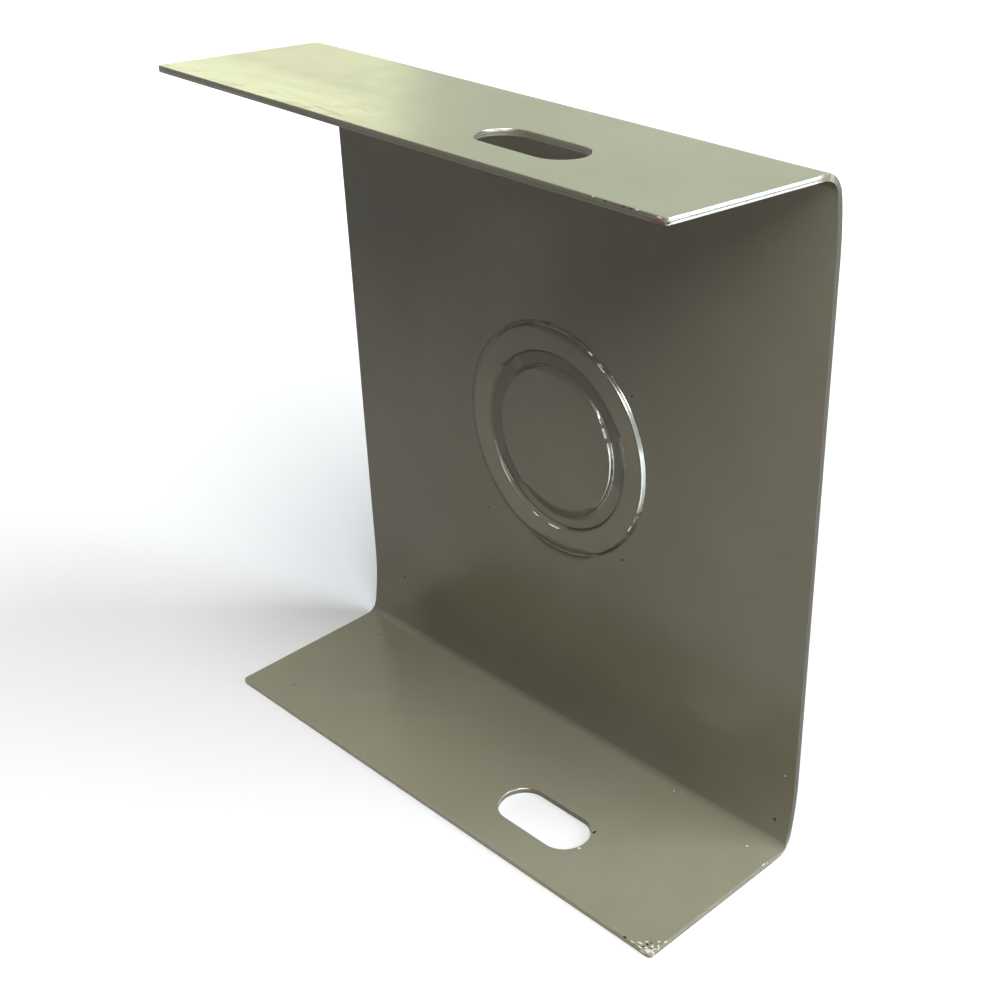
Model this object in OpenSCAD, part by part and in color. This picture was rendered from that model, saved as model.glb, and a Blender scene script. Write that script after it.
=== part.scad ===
// Cover plate: one sheet folded into a C, with a flange at the top and the bottom of its web.
// Each flange has a screw slot, and the web has a knockout whose three parts come out one by one.
// The plate stands on its bottom flange: X points out of its open side, Y runs along the folds
// and Z points up. The origin is the middle of the bottom flange's flat outer face.
// Both flanges have sprung open a little past square, so the web leans back by the bottom one's share.

/* [Sheet] */
// Thickness of the sheet with its paint
sheet_t = 1.1; // [0.8:0.1:1.6]
// Width of the plate, along the folds
plate_w = 116; // [90:1:180]
// Height of the plate along its web, over the outer faces at the two folds
plate_h = 123.5; // [110:0.5:180]

/* [Flanges] */
// Depth of the top flange, from the web's outer face to its free edge
top_flange_d = 37.7; // [30:0.1:60]
// Depth of the bottom flange, from the web's outer face to its free edge
bottom_flange_d = 38; // [30:0.1:60]
// Angle by which the top flange stands open past square
top_open = 3; // [0:0.1:8]
// Angle by which the bottom flange stands open past square
bottom_open = 1.9; // [0:0.1:3]

/* [Folds] */
// Inside radius of the top fold
top_fold_r = 3.3; // [1:0.1:4]
// Inside radius of the bottom fold
bottom_fold_r = 1.6; // [1:0.1:4]
// Angle that the web turns in the gentle curve that leads into the top fold
top_lead = 9; // [2:0.5:14]
// Angle that the web turns in the gentle curve that leads into the bottom fold
bottom_lead = 12; // [2:0.5:14]
// Inside radius of the gentle curve that leads into each fold
lead_r = 63; // [40:1:70]

/* [Slots] */
// Length of each slot, end to end
slot_l = 20.5; // [14:0.5:30]
// Width of each slot
slot_w = 9.5; // [5:0.5:12]
// Distance of each slot's middle from the middle of the width
slot_side = 20.3; // [-25:0.1:25]
// Distance of the top slot's middle from the top flange's free edge
top_slot_in = 12.7; // [9:0.1:17]
// Distance of the bottom slot's middle from the bottom flange's free edge
bottom_slot_in = 12; // [9:0.1:17]

/* [Knockout] */
// Diameter of the outer ring's cut, the largest hole that the knockout gives
outer_cut_d = 43.7; // [42:0.1:50]
// Diameter of the cut between the outer ring and the band inside it
middle_cut_d = 34.5; // [34:0.1:36]
// Diameter of the centre disc's cut, the smallest hole that the knockout gives
inner_cut_d = 28.2; // [20:0.1:28.5]
// Height of the knockout's centre over the bottom fold's outer face, along the web
knockout_up = 61.4; // [50:0.1:65]
// Distance of the knockout's centre from the middle of the width
knockout_side = -0.5; // [-15:0.1:15]
// How far the outer ring stands out of the web's inner face
ring_up = 0.6; // [0.2:0.05:0.6]
// How far the band inside the outer ring is set back behind the web's inner face
band_back = 0.1; // [0:0.05:0.1]
// How far the centre disc stands out of the web's inner face
disc_up = 0.55; // [0.2:0.05:0.6]
// Width of each tie, along the cut that it bridges
tie_w = 7; // [3:0.5:9]
// Length of each tie's slope, across the cut that it bridges
tie_slope = 2.4; // [1:0.1:2.6]

/* [Hidden] */
$fn = 128;
// Flat steps that draw the round of a fold, and of the gentle curve that leads into it
fold_steps = 24;
lead_steps = 8;
paint_colour = [0.46, 0.45, 0.39];
// How far a cutter reaches past each face that it goes through
past = 1;

// The plate is drawn with its web upright: the web's outer face lies at x = 0 and the bottom fold's
// outer face at z = 0. It is leaned back at the very end.

lead_ro = lead_r + sheet_t;

// Height that a fold takes with its gentle curve
function corner_h(fold_r, lead, open) =
    (lead_r - fold_r) * sin(lead) + (fold_r + sheet_t) * cos(open);

// Depth that a fold takes with its gentle curve, up to where the flange is flat
function corner_d(fold_r, lead, open) =
    lead_ro - (lead_r - fold_r) * cos(lead) - (fold_r + sheet_t) * sin(open);

// Length of a flange's flat stretch
function flat_l(flange_d, fold_r, lead, open) =
    (flange_d - corner_d(fold_r, lead, open)) / cos(open);

bottom_flat = flat_l(bottom_flange_d, bottom_fold_r, bottom_lead, bottom_open);
top_flat = flat_l(top_flange_d, top_fold_r, top_lead, top_open);

function spoke(angle) = [cos(angle), sin(angle)];

// Points on a face from the web to the free edge of the bottom flange, as [depth, height].
// inset is 0 for the outer face and the sheet's thickness for the inner one.
function corner_face(fold_r, lead, open, flat, inset) =
    let (
        lead_at = [lead_ro, corner_h(fold_r, lead, open)],
        fold_at = lead_at - (lead_r - fold_r) * spoke(lead),
        face_r = fold_r + sheet_t - inset,
        turn = 90 - open - lead
    )
    concat(
        [for (k = [0 : lead_steps]) lead_at - (lead_ro - inset) * spoke(lead * k / lead_steps)],
        [for (k = [1 : fold_steps]) fold_at - face_r * spoke(lead + turn * k / fold_steps)],
        [fold_at - face_r * spoke(lead + turn) + flat * spoke(-open)]
    );

function bottom_face(inset) =
    corner_face(bottom_fold_r, bottom_lead, bottom_open, bottom_flat, inset);

// The top corner is a bottom corner of its own sizes, upside down
function top_face(inset) =
    [for (p = corner_face(top_fold_r, top_lead, top_open, top_flat, inset)) [p[0], plate_h - p[1]]];

function backwards(points) = [for (k = [len(points) - 1 : -1 : 0]) points[k]];

// Section of the folded sheet, across the folds
module section() {
    polygon(concat(
        backwards(bottom_face(0)),
        top_face(0),
        backwards(top_face(sheet_t)),
        bottom_face(sheet_t)
    ));
}

module folded_sheet() {
    rotate([90, 0, 0])
        linear_extrude(height = plate_w, center = true)
            section();
}

// Cutter for a slot whose length lies along Y, through a sheet that lies on the XY plane
module slot_cut() {
    end_y = (slot_l - slot_w) / 2;
    through = sheet_t + 2 * past;
    translate([0, 0, -past]) {
        for (side = [-1, 1])
            translate([0, side * end_y, 0])
                cylinder(d = slot_w, h = through);
        translate([-slot_w / 2, -end_y, 0])
            cube([slot_w, 2 * end_y, through]);
    }
}

// Places a slot's cutter on the bottom flange, this far in from its free edge
module at_slot(edge, open, slot_in) {
    translate([edge[0], 0, edge[1]])
        rotate([0, open, 0])
            translate([-slot_in, slot_side, 0])
                children();
}

// The free edge of each flange on its outer face, as [depth, distance out from its fold]
bottom_edge = [bottom_flange_d, -bottom_flat * sin(bottom_open)];
top_edge = [top_flange_d, -top_flat * sin(top_open)];

module slot_cuts() {
    at_slot(bottom_edge, bottom_open, bottom_slot_in)
        slot_cut();
    translate([0, 0, plate_h])
        mirror([0, 0, 1])
            at_slot(top_edge, top_open, top_slot_in)
                slot_cut();
}

// The knockout is drawn with its axis along z and the web's inner face at z = 0: x runs along the
// width, y runs up the web and z points out of the open side.
module on_web() {
    translate([sheet_t, knockout_side, knockout_up])
        rotate([90, 0, 90])
            children();
}

// Levels of the knockout's parts, from the web's inner face
web_level = 0;
ring_level = ring_up;
band_level = -band_back;
disc_level = disc_up;

// Room through the sheet, wide enough for what is pressed out of it
module room(d) {
    translate([0, 0, -sheet_t - past])
        cylinder(d = d, h = sheet_t + 2 * past);
}

// Part of the knockout between two cuts, pressed to its level
module pressed(outer_d, inner_d, level) {
    difference() {
        translate([0, 0, level - sheet_t])
            cylinder(d = outer_d, h = sheet_t);
        if (inner_d > 0)
            room(inner_d);
    }
}

// Turns an outline of radius and height round the axis, over a tie in a cut of this diameter
module over_tie(d, at) {
    angle = tie_w / (PI * d) * 360;
    rotate([0, 0, at - angle / 2])
        rotate_extrude(angle = angle)
            children();
}

// Where a tie runs across its cut
function tie_from(d) = (d - tie_slope) / 2;
function tie_to(d) = (d + tie_slope) / 2;

// What the cut and its two sides lose where a tie stands
module tie_room(d, at) {
    over_tie(d, at)
        translate([tie_from(d), -sheet_t - past])
            square([tie_slope, sheet_t + 2 * past]);
}

// A tie: the sheet slopes from the part inside the cut to the part outside it
module tie(d, at, inner_level, outer_level) {
    over_tie(d, at)
        polygon([
            [tie_from(d), inner_level - sheet_t],
            [tie_to(d), outer_level - sheet_t],
            [tie_to(d), outer_level],
            [tie_from(d), inner_level],
        ]);
}

// Directions of the ties: those of the outer ring and the disc lie up and down the web
up_and_down = [90, 270];
side_to_side = [0, 180];

module all_tie_rooms() {
    for (at = up_and_down) {
        tie_room(outer_cut_d, at);
        tie_room(inner_cut_d, at);
    }
    for (at = side_to_side)
        tie_room(middle_cut_d, at);
}

module all_ties() {
    for (at = up_and_down) {
        tie(outer_cut_d, at, ring_level, web_level);
        tie(inner_cut_d, at, disc_level, band_level);
    }
    for (at = side_to_side)
        tie(middle_cut_d, at, band_level, ring_level);
}

// The three pressed parts of the knockout
module pressed_parts() {
    pressed(outer_cut_d, middle_cut_d, ring_level);
    pressed(middle_cut_d, inner_cut_d, band_level);
    pressed(inner_cut_d, 0, disc_level);
}

// The plate with its web upright
module upright_plate() {
    difference() {
        union() {
            difference() {
                folded_sheet();
                slot_cuts();
                on_web()
                    room(outer_cut_d);
            }
            on_web()
                pressed_parts();
        }
        on_web()
            all_tie_rooms();
    }
    on_web()
        all_ties();
}

// Middle of the bottom flange's flat outer face, while the web is upright
foot = bottom_edge - bottom_flat / 2 * spoke(-bottom_open);

module cover_plate() {
    color(paint_colour)
        rotate([0, -bottom_open, 0])
            translate([-foot[0], 0, -foot[1]])
                upright_plate();
}

cover_plate();
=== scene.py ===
"""Cover plate: the folded sheet in its baked enamel, on a pale floor in soft studio light.

The sheet is cut flat, with its slots and its pressed knockout, and is then folded along the
section that the frame's plate has. Lengths are in metres.
"""
import math

import bpy
import numpy as np
from bpy.props import FloatProperty, FloatVectorProperty, PointerProperty
from mathutils import Matrix, Vector, bvhtree, geometry, noise


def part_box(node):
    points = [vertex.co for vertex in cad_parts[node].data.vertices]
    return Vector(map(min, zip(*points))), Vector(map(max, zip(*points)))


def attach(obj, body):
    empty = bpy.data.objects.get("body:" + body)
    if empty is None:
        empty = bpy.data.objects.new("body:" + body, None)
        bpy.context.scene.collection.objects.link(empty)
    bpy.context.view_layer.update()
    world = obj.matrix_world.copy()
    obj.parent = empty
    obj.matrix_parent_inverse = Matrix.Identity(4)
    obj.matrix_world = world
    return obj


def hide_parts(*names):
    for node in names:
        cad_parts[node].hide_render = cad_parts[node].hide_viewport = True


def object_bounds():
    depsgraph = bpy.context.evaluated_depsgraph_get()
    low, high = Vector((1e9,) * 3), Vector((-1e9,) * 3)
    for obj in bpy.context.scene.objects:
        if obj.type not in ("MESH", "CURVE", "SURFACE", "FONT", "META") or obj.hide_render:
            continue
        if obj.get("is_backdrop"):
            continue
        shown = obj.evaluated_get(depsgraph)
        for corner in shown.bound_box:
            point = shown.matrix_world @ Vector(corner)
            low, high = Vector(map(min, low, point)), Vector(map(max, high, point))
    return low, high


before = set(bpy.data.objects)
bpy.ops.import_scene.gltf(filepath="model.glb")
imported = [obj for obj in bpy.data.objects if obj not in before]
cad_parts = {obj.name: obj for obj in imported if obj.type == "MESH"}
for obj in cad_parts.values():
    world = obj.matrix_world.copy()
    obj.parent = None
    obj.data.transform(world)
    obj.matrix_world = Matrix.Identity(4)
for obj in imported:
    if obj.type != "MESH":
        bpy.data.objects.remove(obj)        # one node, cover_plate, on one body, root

CAD_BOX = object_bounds()

bl_info = {
    "name": "Cover Plate",
    "version": (1, 0, 0),
    "blender": (4, 5, 0),
    "location": "3D View > Sidebar > Cover Plate",
    "description": "Cuts, presses, folds and paints a sheet-metal cover plate",
    "category": "Add Mesh",
}

MM = 0.001
PLATE = "cover_plate"
PLATE_LOW, PLATE_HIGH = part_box(PLATE)
# Kinds of specks, by the number that their paint reads
NIB, PIN, RUST, FLAKE = range(4)
# Shares of bare steel, partly wear and partly a painted highlight, on faces that meet the light:
# the top flange's right end and the slots' left ends
END_HIGHLIGHT_BARE, SLOT_HIGHLIGHT_BARE = 0.62, 0.8
# Shares of dirt in the slots and on the other sheared edges, and what the web's two ends, as
# painted shade, and the top free edge, darker, have on top of that
SLOT_DIRT, EDGE_DIRT, WEB_END_SHADE, TOP_EDGE_DARK = 0.25, 0.08, 0.56, 0.28
# Share of painted shade in the bottom fold
FOLD_SHADE = 0.3
# Shares of paler paint, a painted light, on the bottom and the top free edge, all over the ring as
# a painted sheen, and on top of that where the ring's painted sheen is strongest
BOTTOM_EDGE_PALE, TOP_EDGE_PALE, RING_PALE, RING_PALER = 0.85, 0.8, 0.07, 0.2
# Half the width of a line of bare steel, a painted highlight, and of a line of painted shadow
# and dirt beside a cut, in wall widths
BARE_HALF, DARK_HALF = 0.42, 0.45


def linear(code):
    """Linear RGB of an sRGB hex colour such as "#7c7a69"."""
    channels = [int(code[i:i + 2], 16) / 255 for i in (1, 3, 5)]
    return [c / 12.92 if c <= 0.04045 else ((c + 0.055) / 1.055) ** 2.4 for c in channels]


def length(name, description, mm):
    """A length that the user can set, with its default in millimetres."""
    return FloatProperty(
        name=name, description=description, default=mm * MM, unit="LENGTH", precision=5
    )


def angle(name, description, degrees):
    """An angle that the user can set, with its default in degrees."""
    return FloatProperty(
        name=name, description=description, default=math.radians(degrees), subtype="ANGLE"
    )


def paint(name, description, code):
    """A colour that the user can set, with its default as an sRGB hex value."""
    return FloatVectorProperty(
        name=name, description=description, default=linear(code), size=3,
        min=0, max=1, subtype="COLOR",
    )


class SheetSizes(bpy.types.PropertyGroup):
    """Sizes of the folded sheet"""
    thickness: length("Thickness", "Thickness of the sheet with its paint", 1.1)
    width: length("Width", "Width along the folds", (PLATE_HIGH.y - PLATE_LOW.y) / MM)
    height: length("Height", "Height along the web, over the outer faces at the folds", 123.5)
    top_depth: length("Top depth", "From the web's outer face to the top free edge", 37.7)
    bottom_depth: length("Bottom depth", "From the web's outer face to the bottom free edge", 38)
    top_open: angle("Top opening", "How far the top flange stands open past square", 3)
    bottom_open: angle("Bottom opening", "How far the bottom flange stands open past square", 1.9)
    top_fold_r: length("Top fold", "Inside radius of the top fold", 3.3)
    bottom_fold_r: length("Bottom fold", "Inside radius of the bottom fold", 1.6)
    top_lead: angle("Top lead", "Turn of the gentle curve that leads into the top fold", 9)
    bottom_lead: angle("Bottom lead", "Turn of the curve that leads into the bottom fold", 12)
    lead_r: length("Lead radius", "Inside radius of the gentle curves", 63)
    edge_round: length("Edge rounding", "Radius of the paint over the sheared edges", 0.13)
    torn: length("Torn edge", "How far the torn part of a sheared edge lies back", 0.05)
    corner_round: length("Corner rounding", "Radius of the sheet's corners in plan", 0.6)
    side_bulge: length("Side bulge", "How far a fold's squeezed inside bulges at its ends", 0.35)


class SlotSizes(bpy.types.PropertyGroup):
    """Sizes of the two screw slots"""
    slot_length: length("Length", "Length of each slot", 20.5)
    slot_width: length("Width", "Width of each slot", 9.5)
    side: length("Side", "From the middle of the width to each slot's middle", 20.3)
    top_in: length("Top slot in", "From the top free edge to its slot's middle", 12.7)
    bottom_in: length("Bottom slot in", "From the bottom free edge to its slot's middle", 12)


class KnockoutSizes(bpy.types.PropertyGroup):
    """Sizes of the knockout in the web"""
    outer_d: length("Outer cut", "Diameter of the outer ring's cut", 43.7)
    middle_d: length("Middle cut", "Diameter of the cut inside the outer ring", 34.5)
    inner_d: length("Inner cut", "Diameter of the centre disc's cut", 28.2)
    up: length("Height", "Height of its centre over the bottom fold, along the web", 61.4)
    side: length("Side", "Distance of its centre from the middle of the width", -0.5)
    ring_up: length("Ring", "How far the outer ring stands out of the web", 0.6)
    band_back: length("Band", "How far the band inside the ring is set back", 0.1)
    disc_up: length("Disc", "How far the centre disc stands out of the web", 0.55)
    wall: length("Wall", "Width over which a sheared wall climbs, with its paint", 0.4)
    slope: length("Tie slope", "Width over which a tie slopes across its cut", 2.8)


class Finish(bpy.types.PropertyGroup):
    """Colours of the paint"""
    enamel: paint("Enamel", "The baked enamel where it is clean", "#8c8a76")
    roughness: FloatProperty(
        name="Roughness", description="Roughness of the enamel", default=0.25,
        min=0, max=1, subtype="FACTOR",
    )
    brown: paint("Brown tint", "The enamel where it has browned", "#877f6a")
    # the primer also paints light: paler free edges, and a sheen on the ring
    primer: paint("Primer", "What shows where a rim is worn or a flake is lost", "#c3bfa6")
    # bare steel stands where highlights fall, so it is partly a painted highlight
    steel: paint("Steel", "Bare steel that the press has rubbed bright", "#dde2da")
    flake: paint("Flake", "The pale coat that a flaked spot shows", "#efedda")
    # this dark also paints shade: beside the cuts, on the band, in the fold and on the web's ends
    dirt: paint("Dirt", "Dirt in cracks and pinholes", "#211d18")
    rust: paint("Rust", "Rust in chips of the enamel", "#6e4a26")
    specks: FloatProperty(
        name="Specks", description="Scattered specks per square metre of the sheet's faces",
        default=1100.0, min=0,
    )
    speck_small: length("Smallest speck", "Radius of the smallest scattered specks", 0.03)
    speck_large: length("Largest speck", "Radius of the largest scattered specks", 0.09)


def power(name, description, watts):
    """A lamp's power that the user can set."""
    return FloatProperty(
        name=name, description=description, default=watts, min=0, unit="POWER"
    )


class Studio(bpy.types.PropertyGroup):
    """Light and camera"""
    high: power("High lamp", "Power of the lamp nearly overhead", 5.2)
    upper: power("Upper lamp", "Power of the lamp high at the front and right", 4.5)
    front: power("Front lamp", "Power of the lamp at the front and right", 5.8)
    right: power("Right lamp", "Power of the high lamp beyond the plate's right end", 1.8)
    low: power("Low lamp", "Power of the low lamp beyond the plate's right end", 12.5)
    back: power("Back lamp", "Power of the lamp behind the plate's left end", 0.22)
    strip: power("Strip lamp", "Power of the low lamp that the top flange's left mirrors", 0.57)
    far: power("Far lamp", "Power of the low lamp that the top flange's right mirrors", 0.24)
    room: FloatProperty(
        name="Room", description="How white the room is where it is mirrored", default=0.5,
        min=0, max=1, subtype="FACTOR",
    )
    lens: FloatProperty(
        name="Lens", description="Focal length on a 36 mm sensor, in millimetres", default=57.95
    )


def corner(sizes, fold_r, lead, opened, depth):
    """Height that a fold and its lead take up, and the length of its flange's flat stretch."""
    reach = sizes.lead_r - fold_r
    outer = fold_r + sizes.thickness
    taken = sizes.lead_r + sizes.thickness - reach * math.cos(lead) - outer * math.sin(opened)
    height = reach * math.sin(lead) + outer * math.cos(opened)
    return height, (depth - taken) / math.cos(opened)


def section_runs(sizes):
    """(length, turn) of the sheet's middle layer, from the top free edge to the bottom one."""
    half = sizes.thickness / 2
    top_h, top_flat = corner(
        sizes, sizes.top_fold_r, sizes.top_lead, sizes.top_open, sizes.top_depth
    )
    bottom_h, bottom_flat = corner(
        sizes, sizes.bottom_fold_r, sizes.bottom_lead, sizes.bottom_open, sizes.bottom_depth
    )
    top_turn = math.pi / 2 - sizes.top_open - sizes.top_lead
    bottom_turn = math.pi / 2 - sizes.bottom_open - sizes.bottom_lead
    return [
        (top_flat, 0),
        ((sizes.top_fold_r + half) * top_turn, top_turn),
        ((sizes.lead_r + half) * sizes.top_lead, sizes.top_lead),
        (sizes.height - top_h - bottom_h, 0),
        ((sizes.lead_r + half) * sizes.bottom_lead, sizes.bottom_lead),
        ((sizes.bottom_fold_r + half) * bottom_turn, bottom_turn),
        (bottom_flat, 0),
    ]


def section_points(sizes, step):
    """Points of the sheet's middle layer, as (x, z), from the top free edge to the bottom one.

    The bottom flange is flat on the floor, with the origin under its middle.
    """
    runs = section_runs(sizes)
    bottom_flat = runs[-1][0]
    at = np.array([bottom_flat / 2, sizes.thickness / 2])
    heading = math.pi
    points = [at]
    for run, turn in reversed(runs):
        count = max(1, math.ceil(run / step))
        for k in range(1, count + 1):
            part = k / count
            if turn:
                radius = run / turn
                facing = heading - turn * part
                inward = np.array([math.sin(heading), -math.cos(heading)])
                out = np.array([-math.sin(facing), math.cos(facing)])
                points.append(at + radius * (inward + out))
            else:
                points.append(at + run * part * np.array([math.cos(heading), math.sin(heading)]))
        at = points[-1]
        heading -= turn
    return points[::-1]


def section_curve(sizes):
    """The section as a curve, for the folding to follow."""
    points = section_points(sizes, step=0.1 * MM)
    curve = bpy.data.curves.new("section", "CURVE")
    curve.dimensions = "3D"
    spline = curve.splines.new("POLY")
    spline.points.add(len(points) - 1)
    for point, (x, z) in zip(spline.points, points):
        point.co = (x, 0, z, 1)
    section = bpy.data.objects.new("section", curve)
    bpy.context.scene.collection.objects.link(section)
    return section


def lattice_lines(sizes):
    """Lines across and along the blank, closer together where it will be folded."""
    flat_step, lead_step, fold_turn = 2.5 * MM, 1.0 * MM, math.radians(4)
    across = [0.0]
    for run, turn in section_runs(sizes):
        radius = run / turn if turn else math.inf
        if turn and radius < sizes.lead_r:
            count = math.ceil(turn / fold_turn)
        else:
            count = math.ceil(run / (lead_step if turn else flat_step))
        across += [across[-1] + run * k / count for k in range(1, count + 1)]
    inset = sizes.edge_round
    across[0] += inset
    across[-1] -= inset
    half = sizes.width / 2 - inset
    along = np.linspace(-half, half, math.ceil(sizes.width / flat_step) + 1)
    return np.array(across), along


def corner_arcs(xs, ys, radius, steps):
    """Loop round a rectangle with round corners, counter-clockwise: points and outward directions."""
    at, out = [], []
    x_low, x_high, y_low, y_high = xs[0], xs[-1], ys[0], ys[-1]
    inner_x = xs[(xs > x_low + radius) & (xs < x_high - radius)]
    inner_y = ys[(ys > y_low + radius) & (ys < y_high - radius)]
    sides = [
        ([(x_high, y) for y in inner_y], (1, 0), (x_high - radius, y_high - radius), 0),
        ([(x, y_high) for x in inner_x[::-1]], (0, 1), (x_low + radius, y_high - radius), 90),
        ([(x_low, y) for y in inner_y[::-1]], (-1, 0), (x_low + radius, y_low + radius), 180),
        ([(x, y_low) for x in inner_x], (0, -1), (x_high - radius, y_low + radius), 270),
    ]
    for side, facing, centre, start in sides:
        at += side
        out += [facing] * len(side)
        for k in range(steps + 1):
            a = math.radians(start + 90 * k / steps)
            direction = (math.cos(a), math.sin(a))
            at.append((centre[0] + radius * direction[0], centre[1] + radius * direction[1]))
            out.append(direction)
    return np.array(at), np.array(out)


def slot_loop(centre, slot_length, slot_width, steps):
    """Loop round a slot, clockwise: points, and directions into the slot."""
    r = slot_width / 2
    reach = slot_length / 2 - r
    at, out = [], []
    for end, start in ((1, 180), (-1, 0)):
        for k in range(steps + 1):
            a = math.radians(start - 180 * k / steps)
            direction = np.array([math.cos(a), math.sin(a)])
            at.append(np.array([0, end * reach]) + r * direction)
            out.append(-direction)
        for k in range(1, steps // 2):
            y = end * reach * (1 - 2 * k / (steps // 2))
            at.append(np.array([end * r, y]))
            out.append(np.array([-end, 0]))
    return np.array(at) + centre, np.array(out)


def smooth_step(x):
    """Eases from 0 to 1 while x goes from 0 to 1."""
    x = np.clip(x, 0, 1)
    return x * x * (3 - 2 * x)


# Ties of each cut from the outer one in, as (clock angle, half its width, how far it fades), in
# degrees from 3 o'clock upwards
TIES = [
    [(81, 12, 14), (-86, 12, 14)],
    [(175, 18, 22), (14, 8, 10)],
    [(74, 18, 22), (-86, 28, 16)],
]
# Stretches of each cut whose wall shows bare steel where highlights fall, partly wear and partly a
# painted highlight, as (cut, from, to, share, how many wall widths the bare line lies outside the
# cut's middle), in the same degrees
HIGHLIGHT_BARE_WALLS = [
    (0, -18, 52, 1.0, 0), (0, 54, 59, 1.0, -0.35), (0, 64, 66.5, 0.9, 0), (0, -25, -20, 0.8, 0),
    (0, -31, -27, 0.7, -0.35), (0, -37, -34, 0.6, 0), (0, 132, 178, 0.5, 0),
    (0, -178, -132, 0.5, 0), (1, -163, -134, 0.28, 0), (1, -110, -105, 1.0, 0.5),
    (1, -96, -87, 1.0, 0.5), (1, 94, 147, 0.3, 0), (2, -46, 18, 1.0, 0), (2, 22, 29, 1.0, -0.35),
    (2, 32, 52, 0.35, 0), (2, 170, 180, 0.2, 0), (2, -180, -128, 0.2, 0),
]
# Stretches where a dark line of dirt and shadow follows a cut, as (cut, from, to, share, how many
# wall widths it lies outside the cut's middle)
DARK_LINES = [
    (0, 92, 126, 0.9, 1.7), (0, 126, 178, 0.5, 1.7), (0, -178, -124, 0.45, 1.7),
    (0, -120, -66, 0.5, 1.2), (0, -62, -43, 0.9, 0.7), (0, -43, 52, 0.45, 0.8),
    (0, 66, 78, 0.4, 0.9), (1, -82, -28, 0.8, -0.5), (1, -20, 16, 0.6, -0.5),
    (1, 96, 125, 0.5, -0.5), (1, -160, -118, 0.4, -0.5), (2, 96, 136, 0.8, 1.2),
    (2, 140, 178, 0.45, 1.5), (2, -178, -130, 0.4, 1.5), (2, -60, -44, 0.4, 0.6),
]
# Stretches of the sunk band between the middle and the inner cut that are darkened with painted
# shade
DARK_BAND = [(-14, 128, 0.4), (128, 232, 0.42), (232, 346, 0.04)]


def around(theta, clock):
    """Angle between directions and a clock angle in degrees, without its sign."""
    return np.abs((theta - math.radians(clock) + math.pi) % (2 * math.pi) - math.pi)


def tie_share(theta, ties):
    """1 on a tie, 0 on a sheared wall, and in between where a tie fades out."""
    share = np.zeros_like(theta)
    for clock, half, fade in ties:
        away = around(theta, clock) - math.radians(half)
        share = np.maximum(share, 1 - smooth_step(away / math.radians(fade)))
    return share


def knockout_cuts(sizes):
    """(radius, level inside, level outside, ties) of each cut."""
    ring, band, disc = sizes.ring_up, -sizes.band_back, sizes.disc_up
    return [
        (sizes.outer_d / 2, ring, 0, TIES[0]),
        (sizes.middle_d / 2, band, ring, TIES[1]),
        (sizes.inner_d / 2, disc, band, TIES[2]),
    ]


def polar(centre, at):
    """Distance and direction of points of the blank from the knockout's centre."""
    right, up = at[:, 1] - centre[1], centre[0] - at[:, 0]
    return np.hypot(right, up), np.arctan2(up, right)


def knockout_relief(sizes, centre, at):
    """Height of the pressed knockout at points of the blank."""
    r, theta = polar(centre, at)
    height = np.zeros(len(at))
    crack, crack_w = 0.12 * MM, 0.1 * MM
    for radius, inside, outside, ties in knockout_cuts(sizes):
        tie = tie_share(theta, ties)
        wide = sizes.wall + (sizes.slope - sizes.wall) * tie
        height += (inside - outside) * (1 - smooth_step((r - radius) / wide + 0.5))
        foot = radius + math.copysign(sizes.wall / 2, inside - outside)
        height -= crack * (1 - tie) * np.exp(-(((r - foot) / crack_w) ** 2))
    # the punch has crowned the ring
    crown = 0.07 * MM
    outer, middle = sizes.outer_d / 2, sizes.middle_d / 2
    across = np.clip((r - (outer + middle) / 2) / ((outer - middle) / 2), -1, 1)
    height += crown * (1 - across ** 2)
    # the pull of the outer ties dishes the web round the ring
    dish, tie_dish, reach, gap = 0.05 * MM, 0.12 * MM, 2.5 * MM, 0.4 * MM
    beyond = np.clip(r - outer, 0, None)
    pull = dish + tie_dish * tie_share(theta, TIES[0])
    height += pull * np.exp(-beyond / reach) * smooth_step(beyond / gap)
    return height


def along_stretch(theta, start, end, fade):
    """1 between two clock angles, fading out over this many degrees."""
    away = around(theta, (start + end) / 2) - math.radians((end - start) / 2)
    return 1 - smooth_step(away / math.radians(fade) + 0.5)


def highlight_bare_walls(sizes, centre, at):
    """Share of bare steel on the sheared walls, laid where highlights fall: partly a painted
    highlight.
    """
    r, theta = polar(centre, at)
    share = np.zeros(len(at))
    for cut, start, end, full, place in HIGHLIGHT_BARE_WALLS:
        beside = (r - knockout_cuts(sizes)[cut][0]) / sizes.wall
        across = np.exp(-(((beside - place) / BARE_HALF) ** 4))
        share = np.maximum(share, full * across * along_stretch(theta, start, end, fade=1.6))
    return share


def dark_lines(sizes, centre, at):
    """Share of painted shadow with some dirt beside the cuts, and of painted shade on the band."""
    r, theta = polar(centre, at)
    share = np.zeros(len(at))
    for cut, start, end, full, place in DARK_LINES:
        beside = (r - knockout_cuts(sizes)[cut][0]) / sizes.wall
        across = np.exp(-(((beside - place) / DARK_HALF) ** 2))
        share = np.maximum(share, full * across * along_stretch(theta, start, end, fade=5))
    middle, inner = sizes.middle_d / 2, sizes.inner_d / 2
    edge = 0.8 * MM
    across = smooth_step((r - inner) / edge) * smooth_step((middle - r) / edge + 0.4)
    for start, end, full in DARK_BAND:
        share = np.maximum(share, full * across * along_stretch(theta, start, end, fade=16))
    return share


def ring_painted_sheen(sizes, centre, at):
    """Share of paler paint on the ring that stands out of the web: a painted sheen."""
    r, theta = polar(centre, at)
    outer, middle = sizes.outer_d / 2, sizes.middle_d / 2
    across = smooth_step((outer - 0.3 * MM - r) / (0.6 * MM)) * smooth_step((r - middle) / MM)
    most = along_stretch(theta, 8, 50, fade=30) + along_stretch(theta, 150, 255, fade=50)
    return across * (RING_PALE + RING_PALER * np.clip(most, 0, 1))


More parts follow.
